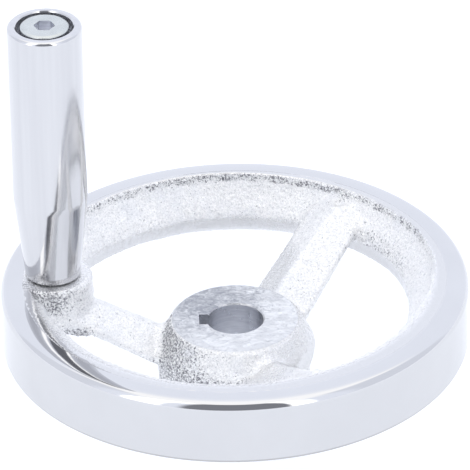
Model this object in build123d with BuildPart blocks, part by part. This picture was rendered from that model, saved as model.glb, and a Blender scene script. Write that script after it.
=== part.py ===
from build123d import *
import os
from math import asin, cos, degrees, radians, sin, tan

# Machine handwheel with a revolving grip, in millimetres.
# The origin is the centre of the hub's lower face, +Z runs up the bore towards the rim,
# and the grip stands on the -X side. The wheel is one casting, plated all over, with its
# rim turned and polished; a shoulder bolt carries the grip on a boss beside the rim.

# --- rim -------------------------------------------------------------------------------
wheel_diameter = 100.0
rim_height = 14.7
rim_rise = 10.0                 # the rim's top over the hub's top
land_width = 6.5                # polished top face, from the outside inwards
wall_width = 11.0               # from the outside to the inner wall
wall_top = 6.6                  # the inner wall's upper and lower ends,
wall_bottom = 3.5               # above the rim's lower face
rim_foot_width = 5.5
turning_stock = 2.5             # cast over the finished top face, then turned away
rim_top_radius = 1.3
rim_foot_radius = 1.0
wall_bottom_radius = 1.0
wall_top_radius = 2.0

# --- hub -------------------------------------------------------------------------------
hub_length = 20.0
hub_top_diameter = 27.6
hub_waist_diameter = 34.8       # widest where the mould parted, level with the spokes
hub_waist_depth = 6.6           # below the hub's top
hub_waist_radius = 3.0
hub_skirt_diameter = 31.8       # where the hub has drawn in again under its waist,
hub_skirt_height = 8.8          # above its lower face
hub_skirt_radius = 4.0
hub_foot_diameter = 31.0
hub_edge_radius = 0.6
bore_diameter = 12.0
bore_chamfer = 0.3
keyway_width = 4.0
keyway_height = 13.8            # from the far wall of the bore to the keyway's floor
keyway_angle = 185.0            # about the wheel's axis

# --- spokes ----------------------------------------------------------------------------
spoke_count = 3
first_spoke_angle = 180.0
spoke_depth = 6.4               # middle of its edges under the hub's top, at the waist
spoke_rim_height = 8.8          # and over the rim's lower face, at the inner wall
spoke_inner_width = 14.4
spoke_outer_width = 13.0
spoke_inner_crown = 5.0         # upper ridge over the middle of the spoke's edges
spoke_outer_crown = 3.5
spoke_inner_belly = 3.4         # lower ridge under the middle of the edges
spoke_outer_belly = 2.3
spoke_edge_thickness = 1.6
spoke_ridge_radius = 2.0
spoke_edge_radius = 0.7
hub_blend = 2.0                 # fillet where the spokes leave the hub
rim_blend = 1.5                 # fillet where the spokes meet the rim and the boss

# --- boss for the handle ---------------------------------------------------------------
handle_inset = 11.0             # handle axis from the outside of the rim
handle_angle = 178.0
boss_diameter = 17.0
boss_draft = 2.0
boss_run_out = 3.0              # modelled below the rim, then taken off with the underside
boss_underside = 0.9            # under the lower ridge of the spoke that it stands on
boss_blend = 2.0

# --- handle: shoulder bolt and revolving grip --------------------------------------------
thread_diameter = 6.0
thread_length = 7.0
thread_chamfer = 0.6
tapping_allowance = 1.0         # hole deeper than the thread
shank_diameter = 8.0
shank_clearance = 0.05          # radial, between the shank and the grip's bore
head_diameter = 10.4
head_height = 4.5
head_chamfer = 0.4
socket_across_flats = 4.0
socket_depth = 2.6
end_play = 0.3                  # grip to boss; the head clears its seat by as much
grip_diameter = 15.9
grip_length = 60.4
grip_neck_diameter = 11.8
grip_neck_length = 19.0         # tapered part
grip_neck_radius = 12.0         # where the taper runs into the straight part
grip_top_radius = 0.8
grip_neck_chamfer = 0.1
recess_diameter = 12.2
recess_chamfer = 0.25

os.makedirs("parts", exist_ok=True)

# worked out from the sizes above
rim_radius = wheel_diameter / 2
rim_top = hub_length + rim_rise
rim_foot = rim_top - rim_height
land_inner = rim_radius - land_width
wall_inner = rim_radius - wall_width
hub_waist = hub_waist_diameter / 2
waist_level = hub_length - hub_waist_depth
hub_skirt = hub_skirt_diameter / 2
spoke_inner_level = hub_length - spoke_depth
spoke_outer_level = rim_foot + spoke_rim_height
stock_top = rim_top + turning_stock
wall_lean = (land_inner - wall_inner) / (rim_height - wall_top)
handle_radius = rim_radius - handle_inset
handle_x = handle_radius * cos(radians(handle_angle))
handle_y = handle_radius * sin(radians(handle_angle))
handle_axis = Axis((handle_x, handle_y, 0), (0, 0, 1))
handle_plane = Plane(origin=(handle_x, handle_y, rim_top))
handle_section = Plane(origin=handle_plane.origin, x_dir=(1, 0, 0), z_dir=(0, -1, 0))
grip_foot = end_play
grip_top = grip_foot + grip_length
head_foot = grip_top - head_height
recess_floor = head_foot - end_play
hollow_start = handle_radius - boss_diameter / 2 - 3.0
hollow_spread = 2 * degrees(asin((boss_diameter / 2 + 2 * boss_blend) / handle_radius))
spoke_start = bore_diameter / 2 + 2.0
spoke_end = land_inner + 1.0


def along_spoke(radius, inner, outer):
    """A size that changes evenly along a spoke, from the hub's waist to the inner wall."""
    return inner + (outer - inner) * (radius - hub_waist) / (wall_inner - hub_waist)


def spoke_plane(angle, radius):
    """Upright plane across a spoke, its origin on the spoke's centre line."""
    a = radians(angle)
    level = along_spoke(radius, spoke_inner_level, spoke_outer_level)
    return Plane(
        origin=(radius * cos(a), radius * sin(a), level),
        x_dir=(-sin(a), cos(a), 0),
        z_dir=(cos(a), sin(a), 0),
    )


def underside_level(radius):
    """Height of the boss's underside, which runs along under the spoke's lower ridge."""
    inner = spoke_inner_level - spoke_inner_belly - boss_underside
    outer = spoke_outer_level - spoke_outer_belly - boss_underside
    return along_spoke(radius, inner, outer)


# --- wheel: the ring with its boss -----------------------------------------------------
with BuildPart() as ring:
    with BuildSketch(Plane.XZ) as rim_section:
        with BuildLine():
            Polyline(
                (rim_radius, rim_foot),
                (rim_radius, stock_top),
                (land_inner + turning_stock * wall_lean, stock_top),
                (wall_inner, rim_foot + wall_top),
                (wall_inner, rim_foot + wall_bottom),
                (rim_radius - rim_foot_width, rim_foot),
                close=True,
            )
        make_face()
        for corner, radius in (
            ((rim_radius, rim_foot), rim_foot_radius),
            ((wall_inner, rim_foot + wall_top), wall_top_radius),
            ((wall_inner, rim_foot + wall_bottom), wall_bottom_radius),
        ):
            fillet(rim_section.vertices().sort_by_distance(corner)[0], radius)
    revolve(axis=Axis.Z)
    plain_ring = ring.part
    with BuildSketch(handle_plane.offset(turning_stock)):
        Circle(boss_diameter / 2 - turning_stock * tan(radians(boss_draft)))
    boss = extrude(amount=rim_foot - boss_run_out - stock_top, taper=-boss_draft)
    seams = new_edges(plain_ring, boss, combined=ring.part).filter_by(GeomType.BSPLINE)
    fillet(seams, boss_blend)

# --- the space under the boss, between its underside and the plain ring ---------------------
with BuildPart() as boss_hollow:
    with BuildSketch(Plane.XZ.rotated((0, 0, handle_angle - hollow_spread / 2))):
        with BuildLine():
            Polyline(
                (hollow_start, rim_foot - 2 * boss_run_out),
                (rim_radius, rim_foot - 2 * boss_run_out),
                (rim_radius, rim_foot),
                (wall_inner, underside_level(wall_inner)),
                (hollow_start, underside_level(hollow_start)),
                close=True,
            )
        make_face()
    revolve(axis=Axis.Z, revolution_arc=hollow_spread)
    add(plain_ring, mode=Mode.SUBTRACT)

# --- wheel: hub and spokes, joined to the ring ---------------------------------------------
with BuildPart() as wheel:
    with BuildSketch(Plane.XZ) as hub_section:
        with BuildLine():
            Polyline(
                (0, 0),
                (hub_foot_diameter / 2, 0),
                (hub_skirt, hub_skirt_height),
                (hub_waist, waist_level),
                (hub_top_diameter / 2, hub_length),
                (0, hub_length),
                close=True,
            )
        make_face()
        for corner, radius in (
            ((hub_foot_diameter / 2, 0), hub_edge_radius),
            ((hub_skirt, hub_skirt_height), hub_skirt_radius),
            ((hub_waist, waist_level), hub_waist_radius),
            ((hub_top_diameter / 2, hub_length), hub_edge_radius),
        ):
            fillet(hub_section.vertices().sort_by_distance(corner)[0], radius)
    revolve(axis=Axis.Z)
    hub = wheel.part
    spokes = []
    for number in range(spoke_count):
        angle = first_spoke_angle + number * 360 / spoke_count
        for radius in (spoke_start, spoke_end):
            half_width = along_spoke(radius, spoke_inner_width, spoke_outer_width) / 2
            crown = along_spoke(radius, spoke_inner_crown, spoke_outer_crown)
            belly = along_spoke(radius, spoke_inner_belly, spoke_outer_belly)
            edge = spoke_edge_thickness / 2
            with BuildSketch(spoke_plane(angle, radius)) as spoke_section:
                with BuildLine():
                    Polyline(
                        (-half_width, -edge),
                        (0, -belly),
                        (half_width, -edge),
                        (half_width, edge),
                        (0, crown),
                        (-half_width, edge),
                        close=True,
                    )
                make_face()
                ridges = spoke_section.vertices().filter_by_position(Axis.X, -0.01, 0.01)
                fillet(ridges, spoke_ridge_radius)
                sides = spoke_section.vertices().group_by(Axis.X)
                fillet(sides[0] + sides[-1], spoke_edge_radius)
        spokes.append(loft())
    fillet(new_edges(hub, *spokes, combined=wheel.part), hub_blend)
    star = wheel.part
    add(ring.part)
    seams = new_edges(star, ring.part, combined=wheel.part).filter_by(GeomType.BSPLINE)
    fillet(seams, rim_blend)
    add(boss_hollow.part, mode=Mode.SUBTRACT)
    with BuildSketch(Plane.XY.offset(rim_top)):
        Circle(wheel_diameter)
    extrude(amount=2 * turning_stock, mode=Mode.SUBTRACT)
    turned_edges = wheel.edges().filter_by(GeomType.CIRCLE).group_by(Axis.Z)[-1]
    fillet(turned_edges.sort_by(SortBy.LENGTH)[-1], rim_top_radius)
    with Locations((0, 0, hub_length)):
        Hole(bore_diameter / 2, depth=hub_length)
    bore_rims = [
        edge
        for edge in wheel.edges().filter_by(GeomType.CIRCLE)
        if abs(edge.radius - bore_diameter / 2) < 0.001
    ]
    chamfer(bore_rims, bore_chamfer)
    with BuildSketch(Plane.XY.rotated((0, 0, keyway_angle))):
        Rectangle(
            keyway_height - bore_diameter / 2,
            keyway_width,
            align=(Align.MIN, Align.CENTER),
        )
    extrude(amount=hub_length, mode=Mode.SUBTRACT)
    with Locations(handle_plane):
        Hole(thread_diameter / 2, depth=thread_length + tapping_allowance)
wheel.part.label = "wheel"
export_step(wheel.part, "parts/wheel.step")

# --- spindle: shoulder bolt screwed into the boss, its axis local Z ---------------------------
with BuildPart() as spindle:
    with BuildSketch(handle_section):
        with BuildLine():
            Polyline(
                (0, -thread_length),
                (thread_diameter / 2 - thread_chamfer, -thread_length),
                (thread_diameter / 2, thread_chamfer - thread_length),
                (thread_diameter / 2, 0),
                (shank_diameter / 2, 0),
                (shank_diameter / 2, head_foot),
                (head_diameter / 2, head_foot),
                (head_diameter / 2, grip_top - head_chamfer),
                (head_diameter / 2 - head_chamfer, grip_top),
                (0, grip_top),
                close=True,
            )
        make_face()
    revolve(axis=handle_axis)
    with BuildSketch(handle_plane.offset(grip_top)):
        RegularPolygon(socket_across_flats / 2, 6, major_radius=False)
    extrude(amount=-socket_depth, mode=Mode.SUBTRACT)
spindle.part.label = "spindle"
export_step(spindle.part, "parts/spindle.step")

# --- grip: sleeve that turns on the spindle's shank --------------------------------------------
with BuildPart() as grip:
    with BuildSketch(handle_section) as grip_section:
        with BuildLine():
            Polyline(
                (shank_diameter / 2 + shank_clearance, grip_foot),
                (grip_neck_diameter / 2, grip_foot),
                (grip_diameter / 2, grip_foot + grip_neck_length),
                (grip_diameter / 2, grip_top),
                (recess_diameter / 2, grip_top),
                (recess_diameter / 2, recess_floor),
                (shank_diameter / 2 + shank_clearance, recess_floor),
                close=True,
            )
        make_face()
        for corner, radius in (
            ((grip_diameter / 2, grip_top), grip_top_radius),
            ((grip_diameter / 2, grip_foot + grip_neck_length), grip_neck_radius),
        ):
            fillet(grip_section.vertices().sort_by_distance(corner)[0], radius)
        for corner, size in (
            ((grip_neck_diameter / 2, grip_foot), grip_neck_chamfer),
            ((recess_diameter / 2, grip_top), recess_chamfer),
        ):
            chamfer(grip_section.vertices().sort_by_distance(corner)[0], size)
    revolve(axis=handle_axis)
grip.part.label = "grip"
export_step(grip.part, "parts/grip.step")
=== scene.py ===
import math

import bmesh
import bpy
from mathutils import Matrix, Vector, noise


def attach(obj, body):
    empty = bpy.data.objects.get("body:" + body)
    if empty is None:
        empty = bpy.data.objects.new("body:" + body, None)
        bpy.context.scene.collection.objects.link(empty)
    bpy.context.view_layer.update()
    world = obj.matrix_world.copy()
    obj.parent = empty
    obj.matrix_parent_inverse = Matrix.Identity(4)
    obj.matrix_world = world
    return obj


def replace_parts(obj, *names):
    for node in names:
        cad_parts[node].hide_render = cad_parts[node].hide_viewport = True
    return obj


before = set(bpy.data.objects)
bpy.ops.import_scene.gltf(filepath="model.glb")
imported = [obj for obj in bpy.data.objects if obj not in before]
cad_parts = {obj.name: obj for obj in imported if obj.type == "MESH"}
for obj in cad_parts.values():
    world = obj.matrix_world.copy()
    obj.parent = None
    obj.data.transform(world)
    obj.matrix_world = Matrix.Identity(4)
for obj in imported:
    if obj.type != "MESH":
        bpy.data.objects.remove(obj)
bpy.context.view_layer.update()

MM = 0.001
UP = Vector((0, 0, 1))

# --- sizes, in millimetres and degrees ----------------------------------------------------
RIM_RADIUS = 49.989
RIM_TOP = 30.0
RIM_FOOT = 15.3
RIM_FOOT_ROUND = 1.0
RIM_TOP_ROUND = 1.5
RING_INNER = 45.3               # the turned ring; the cast skin is drawn in under it
RING_BACK = 48.0

HUB_TOP = 20.0
HUB_REACH = 16.0                # further out than the hub's faced ends
CORE_RADIUS = 9.0               # turned core of the hub, sunk in the cast skin
CORE_HOLE = 8.4
BORE_RADIUS = 6.0
BORE_CHAMFER = 0.3
KEYWAY_WIDTH = 4.0
KEYWAY_REACH = 7.8
KEYWAY_ANGLE = 185

HANDLE = (-38.97624, 1.36078)   # the grip's axis
BOSS_TOP_RADIUS = 7.6
END_PLAY = 0.3
GRIP_LENGTH = 60.4
GRIP_FOOT = RIM_TOP + END_PLAY
GRIP_TOP = GRIP_FOOT + GRIP_LENGTH
GRIP_RADIUS = 7.945
GRIP_NECK = 5.9
GRIP_NECK_LENGTH = 19
GRIP_BORE = 4.05
RECESS_RADIUS = 6.1
RECESS_CHAMFER = 0.25

THREAD_RADIUS = 3.0
THREAD_LENGTH = 7.0
THREAD_CHAMFER = 0.6
SHANK_RADIUS = 4.0
HEAD_RADIUS = 5.2
HEAD_HEIGHT = 4.5
HEAD_FOOT = GRIP_TOP - HEAD_HEIGHT
SOCKET_ACROSS = 4.0
SOCKET_DEPTH = 2.6

SKIN_VOXEL = 0.54
WHOLE_WHEEL = 60                # further out than any point of the casting
DRAWN_IN_FROM = 47.0            # beyond it the skin shrinks, to stay inside the turned ring
UNDER_RING = 0.02               # by how much the skin's flat lies under the turned land
UNDER_CORE = 0.004
WALL_RADIUS = 43.5              # the rim's inner wall under the land, before it is shaped
WALL_BEND = 21.8                # where the wall turns to its foot
WALL_HOLLOW = 0.9
TOP_BAND = 2.5                  # depth to which the land's shoulder is shaped
HUB_BULGE = 1.0

# angle, radius where the polish ends and radius of the casting's lip
LAND_EDGE = (
    (0, 43.5, 41.6),
    (12, 43.9, 43.2),
    (30, 44.3, 43.8),
    (50, 43.9, 43.4),
    (75, 44.1, 43.7),
    (100, 44.5, 44.2),
    (130, 44.4, 44.0),
    (160, 44.4, 43.9),
    (182, 44.4, 43.2),
    (200, 44.6, 40.9),
    (212, 44.9, 40.0),
    (226, 44.8, 39.9),
    (238, 44.5, 40.0),
    (250, 44.2, 40.2),
    (268, 43.9, 40.4),
    (290, 43.6, 40.4),
    (305, 43.3, 39.9),
    (319, 43.4, 39.9),
    (335, 43.6, 39.7),
    (346, 43.6, 40.2),
    (360, 43.5, 41.6),
)


# --- meshes -------------------------------------------------------------------------------
def to_mesh(bm, name):
    mesh = bpy.data.meshes.new(name)
    bm.to_mesh(mesh)
    bm.free()
    return mesh


def from_mesh(mesh):
    bm = bmesh.new()
    bm.from_mesh(mesh)
    bpy.data.meshes.remove(mesh)
    return bm


def holder(name, mesh):
    """An object that carries a mesh."""
    piece = bpy.data.objects.new(name, mesh)
    bpy.context.scene.collection.objects.link(piece)
    return piece


def apply_modifiers(piece):
    depsgraph = bpy.context.evaluated_depsgraph_get()
    mesh = bpy.data.meshes.new_from_object(piece.evaluated_get(depsgraph))
    bpy.data.objects.remove(piece)
    return mesh


def cut(bm, tool):
    """Takes the tool's volume out of a solid."""
    body, cutter = holder("body", to_mesh(bm, "body")), holder("cutter", to_mesh(tool, "cutter"))
    boolean = body.modifiers.new("cut", "BOOLEAN")
    boolean.operation = "DIFFERENCE"
    boolean.solver = "EXACT"
    boolean.object = cutter
    cut_mesh = apply_modifiers(body)
    bpy.data.objects.remove(cutter)
    return from_mesh(cut_mesh)


def turned(outline, steps, centre=(0, 0)):
    """A closed turned solid; outline is (radius, height) points, some with a rounding radius."""
    bm = bmesh.new()
    corners = [bm.verts.new((point[0] * MM, 0, point[1] * MM)) for point in outline]
    bm.faces.new(corners)
    for corner, point in zip(corners, outline):
        if len(point) == 3:
            bmesh.ops.bevel(
                bm,
                geom=[corner],
                offset=point[2] * MM,
                offset_type="OFFSET",
                segments=10,
                profile=0.5,
                affect="VERTICES",
                material=-1,
            )
    section = bm.edges[:]
    bmesh.ops.delete(bm, geom=bm.faces[:], context="FACES_ONLY")
    bmesh.ops.spin(
        bm,
        geom=bm.verts[:] + section,
        axis=UP,
        cent=(0, 0, 0),
        angle=math.tau,
        steps=steps,
        use_merge=True,
    )
    bmesh.ops.remove_doubles(bm, verts=bm.verts, dist=1e-7)
    bmesh.ops.recalc_face_normals(bm, faces=bm.faces)
    bmesh.ops.translate(bm, verts=bm.verts, vec=(centre[0] * MM, centre[1] * MM, 0))
    return bm


def soften(bm, angle=30):
    """Smooth shading with sharp edges kept."""
    for face in bm.faces:
        face.smooth = True
    for edge in bm.edges:
        two_faces = len(edge.link_faces) == 2
        edge.smooth = two_faces and edge.calc_face_angle(0) < math.radians(angle)


def show(name, bm, body, slot, *materials):
    """Puts a finished piece in the scene, riding on its body."""
    piece = holder(name, to_mesh(bm, name))
    for material in materials:
        piece.data.materials.append(material)
    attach(piece, body)
    return piece


def show_turned(name, bm, body, slot, *materials):
    piece = show(name, bm, body, slot, *materials)
    piece.modifiers.new("face weighted", "WEIGHTED_NORMAL").keep_sharp = True
    return piece


# --- shader nodes -------------------------------------------------------------------------
def set_or_link(tree, socket, value):
    if isinstance(value, bpy.types.NodeSocket):
        tree.links.new(value, socket)
    else:
        socket.default_value = value


def number(tree, operation, *values):
    node = tree.nodes.new("ShaderNodeMath")
    node.operation = operation
    for socket, value in zip(node.inputs, values):
        set_or_link(tree, socket, value)
    return node.outputs["Value"]


def vector(tree, operation, output, first, second):
    node = tree.nodes.new("ShaderNodeVectorMath")
    node.operation = operation
    set_or_link(tree, node.inputs[0], first)
    set_or_link(tree, node.inputs[1], second)
    return node.outputs[output]


def ramp(tree, value, start, end, result_start=0.0, result_end=1.0, eased=False):
    """Runs from one result to the other as the value runs from start to end."""
    node = tree.nodes.new("ShaderNodeMapRange")
    if eased:
        node.interpolation_type = "SMOOTHSTEP"
    tree.links.new(value, node.inputs["Value"])
    limits = {"From Min": start, "From Max": end, "To Min": result_start, "To Max": result_end}
    for label, limit in limits.items():
        set_or_link(tree, node.inputs[label], limit)
    return node.outputs["Result"]


def blend(tree, share, start, end):
    """A number that runs from start to end as share runs from 0 to 1."""
    return ramp(tree, share, 0.0, 1.0, start, end)


def blend_colour(tree, share, start, end):
    node = tree.nodes.new("ShaderNodeMix")
    node.data_type = "RGBA"
    tree.links.new(share, node.inputs["Factor"])
    for socket, colour in zip((node.inputs["A"], node.inputs["B"]), (start, end)):
        set_or_link(tree, socket, (*colour, 1) if isinstance(colour, tuple) else colour)
    return node.outputs["Result"]


def coordinates(tree):
    return tree.nodes.new("ShaderNodeTexCoord").outputs["Object"]


def painted(tree, name):
    """A value painted on the mesh, from 0 to 1."""
    node = tree.nodes.new("ShaderNodeAttribute")
    node.attribute_name = name
    return node.outputs["Fac"]


def nearness(tree, centre, reach):
    """1 at and close to a place on the piece, falling to 0 at the given reach."""
    distance = vector(tree, "DISTANCE", "Value", coordinates(tree), Vector(centre) * MM)
    return ramp(tree, distance, reach * MM, 0.3 * reach * MM)


NOISE_INPUTS = {
    "Stretch": (1, 1, 1),
    "Scale": 100.0,
    "Detail": 3.0,
    "Roughness": 0.55,
    "Distortion": 0.0,
}


def node_group(name, inputs, output, kind):
    """A node group with one output: its tree, what it is given and what it puts out."""
    tree = bpy.data.node_groups.new(name, "ShaderNodeTree")
    for label, default in inputs.items():
        socket_type = "NodeSocketVector" if isinstance(default, tuple) else "NodeSocketFloat"
        socket = tree.interface.new_socket(label, in_out="INPUT", socket_type=socket_type)
        socket.default_value = default
    tree.interface.new_socket(output, in_out="OUTPUT", socket_type=kind)
    given = tree.nodes.new("NodeGroupInput").outputs
    return tree, given, tree.nodes.new("NodeGroupOutput").inputs[output]


def stretched_noise(tree, given):
    texture = tree.nodes.new("ShaderNodeTexNoise")
    place = vector(tree, "MULTIPLY", "Vector", coordinates(tree), given["Stretch"])
    tree.links.new(place, texture.inputs["Vector"])
    for label in ("Scale", "Detail", "Roughness", "Distortion"):
        tree.links.new(given[label], texture.inputs[label])
    return texture.outputs["Fac"]


def blotches_group():
    """Irregular patches, as a mask from 0 to 1."""
    inputs = {**NOISE_INPUTS, "Shift": 0.0, "Low": 0.3, "High": 0.7}
    tree, given, mask = node_group("blotches", inputs, "Mask", "NodeSocketFloat")
    shifted = number(tree, "ADD", stretched_noise(tree, given), given["Shift"])
    tree.links.new(ramp(tree, shifted, given["Low"], given["High"]), mask)
    return tree


def relief_group():
    """Fine unevenness of a surface, as a bent normal."""
    inputs = {**NOISE_INPUTS, "Strength": 1.0, "Height": 0.0001}
    tree, given, normal = node_group("relief", inputs, "Normal", "NodeSocketVector")
    bump = tree.nodes.new("ShaderNodeBump")
    tree.links.new(stretched_noise(tree, given), bump.inputs["Height"])
    tree.links.new(given["Strength"], bump.inputs["Strength"])
    tree.links.new(given["Height"], bump.inputs["Distance"])
    tree.links.new(bump.outputs["Normal"], normal)
    return tree


BLOTCHES = blotches_group()
RELIEF = relief_group()


def use_group(tree, group, values):
    node = tree.nodes.new("ShaderNodeGroup")
    node.node_tree = group
    for label, value in values.items():
        set_or_link(tree, node.inputs[label], value)
    return node.outputs[0]


def blotches(tree, **values):
    return use_group(tree, BLOTCHES, values)


def relief(tree, **values):
    return use_group(tree, RELIEF, values)


# --- materials ----------------------------------------------------------------------------
def metal(name, colour, roughness, normal, metallic=1.0):
    """A metal; each look is a function of the node tree that puts out what feeds the shader."""
    material = bpy.data.materials.new(name)
    material.use_nodes = True
    tree = material.node_tree
    shader = tree.nodes["Principled BSDF"]
    shader.inputs["Metallic"].default_value = metallic
    for label, look in (("Base Color", colour), ("Roughness", roughness), ("Normal", normal)):
        tree.links.new(look(tree), shader.inputs[label])
    return material


def polished_chrome():
    """Polish of the rim, with a painted dark line of shade where its foot is rounded."""

    def colour(tree):
        clean = blend_colour(
            tree, blotches(tree, Scale=60), (0.61, 0.61, 0.615), (0.635, 0.635, 0.64)
        )
        place = tree.nodes.new("ShaderNodeSeparateXYZ")
        tree.links.new(coordinates(tree), place.inputs["Vector"])
        # painted shade: the rounded foot darkened, standing in for the dark it reflects
        painted_foot_shade = ramp(tree, place.outputs["Z"], (RIM_FOOT + 0.95) * MM, (RIM_FOOT + 0.5) * MM)
        return blend_colour(tree, painted_foot_shade, clean, (0.40, 0.39, 0.385))

    return metal(
        "polished_chrome",
        colour,
        lambda tree: blend(tree, blotches(tree, Scale=500), 0.035, 0.07),
        lambda tree: relief(tree, Scale=180, Detail=2, Strength=0.25, Height=0.00003),
    )


def drawn_chrome():
    """Polish of the grip: softer, with faint streaks along it."""
    along = (1, 1, 0.03)

    def colour(tree):
        streaks = blotches(tree, Stretch=along, Scale=420)
        return blend_colour(tree, streaks, (0.60, 0.60, 0.612), (0.65, 0.65, 0.657))

    return metal(
        "drawn_chrome",
        colour,
        lambda tree: blend(tree, blotches(tree, Scale=160), 0.08, 0.14),
        lambda tree: relief(tree, Stretch=along, Scale=900, Strength=0.25, Height=0.00003),
    )


def cast_chrome():
    """Bright plating over the cast skin, with painted shade: dark specks where the shade share is
    painted on the mesh, blue-grey patches; smooth where "polish".
    """

    def colour(tree):
        mottle = blotches(
            tree, Scale=2500, Detail=5, Roughness=0.7, Distortion=0.5, Low=0.42, High=0.80
        )
        clean = blend_colour(tree, mottle, (1.0, 0.995, 0.985), (0.55, 0.56, 0.58))
        # painted shade: blue-grey patches at random, standing in for the shading of the skin's
        # lumps
        lump_shade = blend(tree, blotches(tree, Scale=170, Detail=4, Low=0.50, High=0.80), 0.0, 0.5)
        clean = blend_colour(tree, lump_shade, clean, (0.76, 0.78, 0.83))
        # painted shade: dark specks, gathered where the shade share painted on the mesh is high
        shade_specks = blotches(
            tree, Scale=2400, Detail=5, Roughness=0.7, Distortion=0.8, Low=0.60, High=0.69,
            Shift=blend(tree, painted(tree, "painted_shade"), 0.0, 0.135),
        )
        specked_with_shade = blend_colour(tree, shade_specks, clean, (0.14, 0.14, 0.16))
        return blend_colour(tree, painted(tree, "polish"), specked_with_shade, (0.64, 0.64, 0.645))

    def roughness(tree):
        rough = blend(tree, blotches(tree, Scale=900), 0.26, 0.5)
        return blend(tree, painted(tree, "polish"), rough, 0.07)

    def normal(tree):
        strength = blend(tree, painted(tree, "polish"), 1.0, 0.03)
        return relief(
            tree, Scale=1700, Detail=4, Roughness=0.65, Distortion=0.4,
            Strength=strength, Height=0.00035,
        )

    return metal("cast_chrome", colour, roughness, normal, metallic=0.8)


def machined_chrome():
    """Faced ends of the hub: wiped and blotchy, darkest behind the keyway, dull at the border."""

    def colour(tree):
        worn = blend(tree, nearness(tree, (-7, 8, HUB_TOP), 17), 0.0, 0.17)
        wiped = blotches(
            tree, Stretch=(0.6, 1.2, 1), Scale=330, Detail=6, Distortion=1.2, Low=0.48, High=0.62
        )
        patches = blotches(
            tree, Stretch=(0.8, 1.1, 1), Scale=620, Detail=8, Roughness=0.78, Distortion=1.4,
            Low=0.51, High=0.72, Shift=worn,
        )
        clean = blend_colour(tree, wiped, (0.66, 0.665, 0.675), (0.80, 0.805, 0.81))
        face = blend_colour(tree, patches, clean, (0.33, 0.34, 0.37))
        border = ramp(tree, nearness(tree, (0, 0, HUB_TOP), 13.9), 0.07, 0.03, 0.0, 0.5)
        return blend_colour(tree, border, face, (0.42, 0.43, 0.46))

    return metal(
        "machined_chrome",
        colour,
        lambda tree: blend(tree, blotches(tree, Scale=1200), 0.26, 0.46),
        lambda tree: relief(
            tree, Scale=700, Detail=5, Roughness=0.7, Distortion=0.6, Strength=0.9, Height=0.0002
        ),
    )


def bored_chrome():
    """Bores and sockets: bright, with fine rings round them."""
    around = (0.1, 0.1, 1)

    def colour(tree):
        rings = blotches(tree, Stretch=around, Scale=1800)
        return blend_colour(tree, rings, (0.90, 0.91, 0.94), (0.74, 0.75, 0.79))

    return metal(
        "bored_chrome",
        colour,
        lambda tree: blend(tree, blotches(tree, Scale=900), 0.25, 0.4),
        lambda tree: relief(tree, Stretch=around, Scale=2200, Strength=0.5, Height=0.0001),
    )


def ground_steel():
    """Faces of the shoulder bolt."""

    def colour(tree):
        patches = blotches(tree, Scale=400)
        return blend_colour(tree, patches, (0.52, 0.54, 0.535), (0.60, 0.62, 0.61))

    return metal(
        "ground_steel",
        colour,
        lambda tree: blend(tree, blotches(tree, Scale=1500), 0.22, 0.36),
        lambda tree: relief(tree, Scale=1500, Strength=0.12, Height=0.00005),
    )


POLISHED = polished_chrome()
DRAWN = drawn_chrome()
CAST = cast_chrome()
MACHINED = machined_chrome()
BORED = bored_chrome()
STEEL = ground_steel()


# --- the cast skin: what each point of it does, in millimetres ----------------------------
def rise(value, low, high):
    """0 up to low, 1 from high on, eased between them."""
    t = min(max((value - low) / (high - low), 0.0), 1.0)
    return t * t * (3 - 2 * t)


def fall(value, low, high):
    return 1 - rise(value, low, high)


def from_handle(x, y):
    return math.hypot(x - HANDLE[0], y - HANDLE[1])


def azimuth(x, y):
    return math.degrees(math.atan2(y, x))


def cast_grain(point):
    """Height of the sand-cast skin over the plain surface."""
    p = point / MM
    swell = noise.noise(p / 8.0) * 0.14
    lumps = noise.noise(p / 2.6 + Vector((11, 3, 7))) * 0.07
    grains = noise.noise(p / 1.1 + Vector((5, 17, 29))) * 0.12
    fine = noise.noise(p / 0.6 + Vector((31, 2, 13))) * 0.06
    return swell + lumps + grains + fine - 0.05


def land_edge(x, y):
    """Radius where the polish ends and radius of the lip under it, on the side of a point."""
    degrees = azimuth(x, y) % 360
    for (start, polish, lip), (end, next_polish, next_lip) in zip(LAND_EDGE, LAND_EDGE[1:]):
        if degrees <= end:
            share = rise(degrees, start, end)
            return polish + (next_polish - polish) * share, lip + (next_lip - lip) * share
    return LAND_EDGE[-1][1:]


def top_drop(x, y):
    """How far the cast top has fallen away from the faced level; negative inside its edge."""
    polish, lip = land_edge(x, y)
    width = max(polish - lip, 0.3)
    rim = polish - math.hypot(x, y)
    if rim > 0:
        rim = (0.05 + 0.25 * width) * (rim / width) ** 2 + 0.06 * rim
    boss = from_handle(x, y) - BOSS_TOP_RADIUS
    if boss > 0:
        boss = 0.5 * boss ** 2 + 0.06 * boss
    drop = min(rim, boss)
    return drop if drop > 0 else max(0.25 * drop, -0.2)


def wall_foot_shift(x, y, z):
    """How far the foot of the rim's inner wall stands further in, at the right."""
    degrees = azimuth(x, y)
    return 2.1 * rise(degrees, -45, -12) * fall(degrees, -8, 42) * fall(z, 23, 28)


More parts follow.
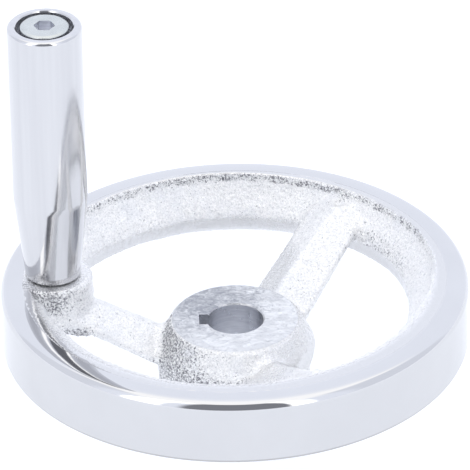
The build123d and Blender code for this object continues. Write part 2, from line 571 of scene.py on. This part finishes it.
def painted_shade_share(x, y, z, normal):
    """Share of dark specks that paint shade and dark reflections: a strip under the land, the hub's
    left front, and round the boss.
    """
    r = math.hypot(x, y)
    patch = rise(noise.noise(Vector((x, y, 0)) / 1.9), -0.55, 0.35)
    under_land = rise(z + 0.7 * patch, 28.8, 29.6) * rise(y, 5, 25) * fall(r, 45.5, 46.5)
    under_land *= 0.55 + 0.55 * patch
    hub = fall(r, 17.5, 19) * rise(-normal.x, -0.1, 0.8) * fall(normal.z, 0.75, 0.9)
    hub *= fall(normal.y, 0.1, 0.5)
    boss = fall(from_handle(x, y), 9.5, 11) * rise(-normal.y, 0.1, 0.5) * rise(z, 21, 28.5)
    boss *= 1 - 0.6 * rise(normal.x, 0.1, 0.8)
    beside_boss = fall(math.hypot(x + 42.5, y + 6), 3, 6) * rise(z, 24, 26)
    below_boss = fall(math.hypot(x + 34.2, y + 4), 4, 6) * fall(z, 20, 22)
    below_boss *= rise(-normal.y, 0.0, 0.4)
    foot = fall(z, 13.5, 16) * fall(r, 34, 36) * rise(-normal.y, 0.3, 0.7)
    wall_bend = rise(r, 36, 38) * rise(z, 21.4, 22) * fall(z, 22.8, 26)
    wall_bend *= fall(abs(azimuth(x, y) - 42), 10, 26) * rise(x, 5, 10)
    painted_shade = 0.85 * under_land + hub + boss + beside_boss + below_boss
    return min(painted_shade + 0.5 * foot + 0.55 * wall_bend, 1.0)


def smooth_skin(x, y, z, normal):
    """Share of smoother, greyer plating: the wall's foot, spokes' flanks, the hub's right."""
    r = math.hypot(x, y)
    bend = WALL_BEND + 0.35 * noise.noise(Vector((x, y, 3)) / 3)
    wall_foot = rise(r, 37, 39) * fall(z, bend - 0.3, bend + 0.3) * fall(abs(normal.z), 0.5, 0.8)
    spokes = rise(r, 15, 17) * fall(r, 37, 41) * fall(z, 20, 23)
    flank = spokes * rise(-normal.x, 0.25, 0.5) * rise(y, 2, 6)
    front = spokes * fall(y, -4, 0) * rise(x, 2, 8)
    hub = fall(r, 17, 19) * rise(normal.x, -0.1, 0.6)
    return min(0.7 * wall_foot + 0.45 * flank + 0.3 * front + 0.42 * hub, 1.0)


def rim_skin(x, y, z, normal, depth):
    """Move of a point at the rim, and the polish it takes as part of the faced land."""
    r = math.hypot(x, y)
    polish, lip = land_edge(x, y)
    wall = rise(z, 22, 29) * rise(from_handle(x, y), 8.5, 12) * rise(r, 36, 39)
    wall *= fall(r, 43.9, RING_INNER)
    hollow = WALL_HOLLOW * math.sin(math.pi * min(max((z - 21.5) / 8.5, 0), 1))
    outward = (lip - WALL_RADIUS + hollow) * wall
    outward -= wall_foot_shift(x, y, z) * rise(r, 36, 38) * fall(r, 42, 46)
    move = Vector((x / r, y / r, 0)) * outward
    if z <= RIM_TOP - TOP_BAND:
        return move, 0.0
    x, y = x + move.x, y + move.y
    drop = top_drop(x, y)
    calm = fall(drop, 0.03, 0.06 + 0.11 * max(polish - lip, 0.3))
    calm *= rise(z, RIM_TOP - 1.2, RIM_TOP - 0.4)
    move -= normal * depth * 0.8 * calm
    move.z -= drop * rise(z, RIM_TOP - TOP_BAND, RIM_TOP - 0.3)
    return move, calm * (1 - 0.55 * fall(from_handle(x, y), 8.5, 10))


def hub_skin(x, y, z, normal, move):
    """Move of a point at the hub: its ends stand proud until faced, its lower left bulges."""
    r = math.hypot(x, y)
    if r < HUB_REACH and z > HUB_TOP - 0.3:
        worn_edge = 0.25 * max(r - 12.6, 0) ** 2 * rise(x - y, 0, 12)
        return Vector((0, 0, 0.5 * fall(r, 13.0, 13.7) - worn_edge))
    if r < HUB_REACH and z < 0.3:
        return Vector((0, 0, -0.3))
    if r < 20 and z < 14:
        bulge = HUB_BULGE * rise(-normal.x, 0.2, 0.9) * rise(z, 0, 4) * fall(z, 8, 14)
        return move - Vector((bulge, 0, 0))
    return move


# --- pieces -------------------------------------------------------------------------------
AS_CAST, FACED = 0, 1           # the casting's materials


def face_flat(bm, level, reach, upward, finish):
    """Faces off what stands over a level; only a machined flat gets a sharp border."""
    near = [f for f in bm.faces if f.calc_center_median().xy.length < reach]
    edges = dict.fromkeys(e for f in near for e in f.edges)
    verts = dict.fromkeys(v for f in near for v in f.verts)
    bmesh.ops.bisect_plane(
        bm,
        geom=[*near, *edges, *verts],
        plane_co=(0, 0, level),
        plane_no=(0, 0, upward),
        dist=1e-7,
    )
    for vert in bm.verts:
        if vert.co.xy.length < reach and (vert.co.z - level) * upward > 0:
            vert.co.z = level
    bm.normal_update()
    flat = {
        f
        for f in bm.faces
        if f.normal.z * upward > 0.999
        and all(abs(v.co.z - level) < 2e-7 for v in f.verts)
        and f.calc_center_median().xy.length < reach
    }
    for face in flat:
        face.material_index = finish
        for edge in face.edges:
            edge.smooth = finish == AS_CAST or all(f in flat for f in edge.link_faces)


def remeshed_casting():
    """The casting in even small faces, its bore opened for the hub's core."""
    bm = bmesh.new()
    bm.from_mesh(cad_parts["wheel"].data)
    bmesh.ops.remove_doubles(bm, verts=bm.verts, dist=2e-6)
    bore = bmesh.new()
    bmesh.ops.create_cone(
        bore, cap_ends=True, segments=96,
        radius1=CORE_HOLE * MM, radius2=CORE_HOLE * MM, depth=60 * MM,
    )
    skin = holder("skin", to_mesh(cut(bm, bore), "skin"))
    remesh = skin.modifiers.new("skin", "REMESH")
    remesh.mode = "VOXEL"
    remesh.voxel_size = SKIN_VOXEL * MM
    remesh.adaptivity = 0
    return from_mesh(apply_modifiers(skin))


def refine_shoulder(bm):
    """Smaller faces where the land runs out into the front of the cast wall."""
    shoulder = {
        v
        for v in bm.verts
        if 43.2 * MM < v.co.xy.length < 45.4 * MM and v.co.z > 28.5 * MM and v.co.y < 10 * MM
    }
    edges = [e for e in bm.edges if shoulder.issuperset(e.verts)]
    bmesh.ops.subdivide_edges(bm, edges=edges, cuts=1, use_grid_fill=True)


def ease_spoke_root(bm):
    """Rounds the corner between the hub's right front and its spoke."""
    for _ in range(10):
        root = [
            v
            for v in bm.verts
            if v.co.x > 3 * MM and v.co.y < 0
            and 12 * MM < v.co.xy.length < 25 * MM and 5 * MM < v.co.z < 18.5 * MM
        ]
        bmesh.ops.smooth_vert(
            bm, verts=root, factor=0.5, use_axis_x=True, use_axis_y=True, use_axis_z=True
        )


def wheel_casting():
    bm = remeshed_casting()
    bm.normal_update()
    refine_shoulder(bm)
    ease_spoke_root(bm)
    bm.normal_update()
    # painted shade: a share of dark specks on the skin, standing in for shade and dark reflections
    painted_shade = bm.verts.layers.float.new("painted_shade")
    polish = bm.verts.layers.float.new("polish")
    moves = []
    for vert in bm.verts:
        x, y, z = vert.co / MM
        r = math.hypot(x, y)
        vert[painted_shade] = painted_shade_share(x, y, z, vert.normal)
        vert[polish] = smooth_skin(x, y, z, vert.normal)
        depth = cast_grain(vert.co) * fall(r, 46.5, 47.5)
        move = vert.normal * depth
        if r > 25 and z > 14:
            shift, faced = rim_skin(x, y, z, vert.normal, depth)
            vert[polish] = max(faced, vert[polish])
            move += shift
        moves.append(hub_skin(x, y, z, vert.normal, move) * MM)
    for vert, move in zip(bm.verts, moves):
        vert.co += move
        r = vert.co.xy.length / MM
        if r > DRAWN_IN_FROM:
            draw_in = (DRAWN_IN_FROM + (r - DRAWN_IN_FROM) * 0.4) / r
            vert.co.x *= draw_in
            vert.co.y *= draw_in
    for face in bm.faces:
        face.smooth = True
    face_flat(bm, (RIM_TOP - UNDER_RING) * MM, WHOLE_WHEEL * MM, 1, AS_CAST)
    face_flat(bm, (HUB_TOP - UNDER_CORE) * MM, HUB_REACH * MM, 1, FACED)
    face_flat(bm, UNDER_CORE * MM, WHOLE_WHEEL * MM, -1, FACED)
    for vert in bm.verts:
        r = vert.co.xy.length / MM
        if r > 45.95 and vert.co.z > (RIM_TOP - 2) * MM:
            vert.co.z -= rise(r, 45.8, 46.3) * MM
    return show("wheel_casting", bm, "wheel", "plated_casting", CAST, MACHINED)


def crown(radius):
    """Fall of the polished land towards its outer edge, in millimetres."""
    return 0.0055 * max(radius - 44.6, 0) ** 2.8


def turned_rim():
    land = [(r, RIM_TOP - crown(r)) for r in (48.8, 48.4, 48.0, 47.5, 47.0, 46.5, 45.9, RING_INNER)]
    outline = [
        (RING_BACK, RIM_TOP - 4),
        (RING_BACK, RIM_FOOT),
        (RIM_RADIUS, RIM_FOOT, RIM_FOOT_ROUND),
        (RIM_RADIUS, RIM_TOP - 0.69, RIM_TOP_ROUND),
        *land,
        (RING_INNER, RIM_TOP - 1.5),
    ]
    bm = turned(outline, 360)
    soften(bm)
    return show_turned("turned_rim", bm, "wheel", "plated_casting", POLISHED)


def hub_core():
    outline = [
        (BORE_RADIUS + BORE_CHAMFER, 0.0),
        (CORE_RADIUS, 0.0),
        (CORE_RADIUS, HUB_TOP),
        (BORE_RADIUS + BORE_CHAMFER, HUB_TOP),
        (BORE_RADIUS, HUB_TOP - BORE_CHAMFER),
        (BORE_RADIUS, BORE_CHAMFER),
    ]
    keyway = bmesh.new()
    middle = Vector((KEYWAY_REACH / 2, 0, HUB_TOP / 2)) * MM
    size = Vector((KEYWAY_REACH, KEYWAY_WIDTH, 1.5 * HUB_TOP)) * MM
    turn = Matrix.Rotation(math.radians(KEYWAY_ANGLE), 4, "Z")
    bmesh.ops.create_cube(keyway, size=1, matrix=turn @ Matrix.LocRotScale(middle, None, size))
    bm = cut(turned(outline, 128), keyway)
    soften(bm)
    for face in bm.faces:
        face.material_index = 0 if abs(face.normal.z) > 0.5 else 1
    return show_turned("hub_core", bm, "wheel", "plated_casting", MACHINED, BORED)


def grip_sleeve():
    seat = HEAD_FOOT - END_PLAY
    outline = [
        (GRIP_BORE, GRIP_FOOT),
        (GRIP_NECK - 0.1, GRIP_FOOT),
        (GRIP_NECK, GRIP_FOOT + 0.1),
        (GRIP_RADIUS, GRIP_FOOT + GRIP_NECK_LENGTH, 0.65),
        (GRIP_RADIUS, GRIP_TOP, 0.8),
        (RECESS_RADIUS + RECESS_CHAMFER, GRIP_TOP),
        (RECESS_RADIUS, GRIP_TOP - RECESS_CHAMFER),
        (RECESS_RADIUS, seat),
        (GRIP_BORE, seat),
    ]
    bm = turned(outline, 192, HANDLE)
    soften(bm)
    for face in bm.faces:
        x, y, z = face.calc_center_median() / MM
        face.material_index = 1 if from_handle(x, y) < RECESS_RADIUS + 0.05 and z > seat else 0
    return show_turned("grip_sleeve", bm, "grip", "plated_steel", DRAWN, BORED)


def shoulder_bolt():
    outline = [
        (0, RIM_TOP - THREAD_LENGTH),
        (THREAD_RADIUS - THREAD_CHAMFER, RIM_TOP - THREAD_LENGTH),
        (THREAD_RADIUS, RIM_TOP - THREAD_LENGTH + THREAD_CHAMFER),
        (THREAD_RADIUS, RIM_TOP),
        (SHANK_RADIUS, RIM_TOP),
        (SHANK_RADIUS, HEAD_FOOT),
        (HEAD_RADIUS, HEAD_FOOT),
        (HEAD_RADIUS, GRIP_TOP - 0.3, 0.15),
        (HEAD_RADIUS - 0.55, GRIP_TOP, 0.2),
        (0, GRIP_TOP),
    ]
    socket = bmesh.new()
    corner = SOCKET_ACROSS / math.sqrt(3) * MM
    place = Matrix.Translation(Vector((*HANDLE, GRIP_TOP)) * MM)
    bmesh.ops.create_cone(
        socket, cap_ends=True, segments=6, radius1=corner, radius2=corner,
        depth=2 * SOCKET_DEPTH * MM, matrix=place @ Matrix.Rotation(math.radians(30), 4, "Z"),
    )
    bm = cut(turned(outline, 128, HANDLE), socket)
    soften(bm)
    for face in bm.faces:
        x, y, z = face.calc_center_median() / MM
        in_socket = from_handle(x, y) < 2.4 and GRIP_TOP - 3 < z < GRIP_TOP - 0.01
        on_side = from_handle(x, y) > 5 and HEAD_FOOT < z < GRIP_TOP - 0.4
        face.material_index = 1 if in_socket or on_side else 0
    return show_turned("shoulder_bolt", bm, "wheel", "bolt_steel", STEEL, BORED)


casting = wheel_casting()
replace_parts(casting, "wheel")
turned_rim()
hub_core()
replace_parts(grip_sleeve(), "grip")
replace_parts(shoulder_bolt(), "spindle")


# --- floor, studio and camera -------------------------------------------------------------
FRONT = Vector((0.0645, -0.9979, 0))
SKY = (1.17, 1.22, 1.36)
BACKDROP = (1.05, 1.05, 1.05)
# azimuth from the front (left, right) and height (low, high), blur, all in degrees; radiance
STUDIO = (
    (-190, 190, 52, 100, 8, (1.50, 1.50, 1.52)),
    (-120, -69, -10, 60, 5, (1.02, 1.06, 1.18)),
    (56, 112, -10, 60, 6, (1.0, 1.04, 1.16)),
    (-26, 26, -95, 68, 3, (0.30, 0.31, 0.35)),
    (-54, -36, -40, 70, 2, (2.6, 2.6, 2.6)),
    (25, 36, -40, 70, 2, (2.6, 2.6, 2.6)),
)
LENS = 520.95
CAMERA_PLACE = Vector((79.918, -1235.844, 788.234)) * MM
CAMERA_AIM = Vector((0.265, 0.017, 40.855)) * MM
CAMERA_ROLL = -1.1446


def floor():
    bm = bmesh.new()
    bmesh.ops.create_grid(bm, x_segments=1, y_segments=1, size=4)
    plane = holder("floor", to_mesh(bm, "floor"))
    material = bpy.data.materials.new("pale_floor")
    material.use_nodes = True
    shader = material.node_tree.nodes["Principled BSDF"]
    shader.inputs["Base Color"].default_value = (0.50, 0.51, 0.53, 1)
    shader.inputs["Roughness"].default_value = 0.9
    shader.inputs["Emission Color"].default_value = (0.95, 0.98, 1.05, 1)
    shader.inputs["Emission Strength"].default_value = 0.62
    plane.data.materials.append(material)


def studio():
    """Surroundings seen in the chrome: white boxes beside a dark front, under a pale sky."""
    world = bpy.data.worlds.new("studio")
    bpy.context.scene.world = world
    world.use_nodes = True
    tree = world.node_tree
    direction = tree.nodes.new("ShaderNodeTexCoord").outputs["Generated"]

    def along(axis):
        return vector(tree, "DOT_PRODUCT", "Value", direction, axis)

    def between(value, low, high, blur):
        after_low = ramp(tree, value, low - blur, low + blur, eased=True)
        after_high = ramp(tree, value, high - blur, high + blur, eased=True)
        return number(tree, "SUBTRACT", after_low, after_high)

    to_right = Vector((-FRONT.y, FRONT.x, 0))
    around = number(tree, "DEGREES", number(tree, "ARCTAN2", along(to_right), along(FRONT)))
    height = number(tree, "DEGREES", number(tree, "ARCSINE", along(UP)))
    colour = SKY
    for left, right, low, high, blur, tint in STUDIO:
        sideways = between(around, left, right, blur)
        mask = number(tree, "MULTIPLY", sideways, between(height, low, high, blur))
        colour = blend_colour(tree, mask, colour, tint)
    seen = tree.nodes.new("ShaderNodeLightPath").outputs["Is Camera Ray"]
    colour = blend_colour(tree, seen, colour, BACKDROP)
    tree.links.new(colour, tree.nodes["Background"].inputs["Color"])


def camera():
    eye = bpy.data.objects.new("camera", bpy.data.cameras.new("camera"))
    bpy.context.scene.collection.objects.link(eye)
    eye.data.lens = LENS
    eye.data.sensor_width = 36
    eye.data.clip_start = 0.05
    eye.data.clip_end = 20
    look = (CAMERA_AIM - CAMERA_PLACE).normalized()
    level = look.cross(UP).normalized()
    roll = math.radians(CAMERA_ROLL)
    right = level * math.cos(roll) + level.cross(look) * math.sin(roll)
    turn = Matrix((right, right.cross(look), -look)).transposed().to_4x4()
    eye.matrix_world = Matrix.Translation(CAMERA_PLACE) @ turn
    bpy.context.scene.camera = eye


studio()
floor()
camera()
bpy.context.scene.view_settings.view_transform = "Standard"
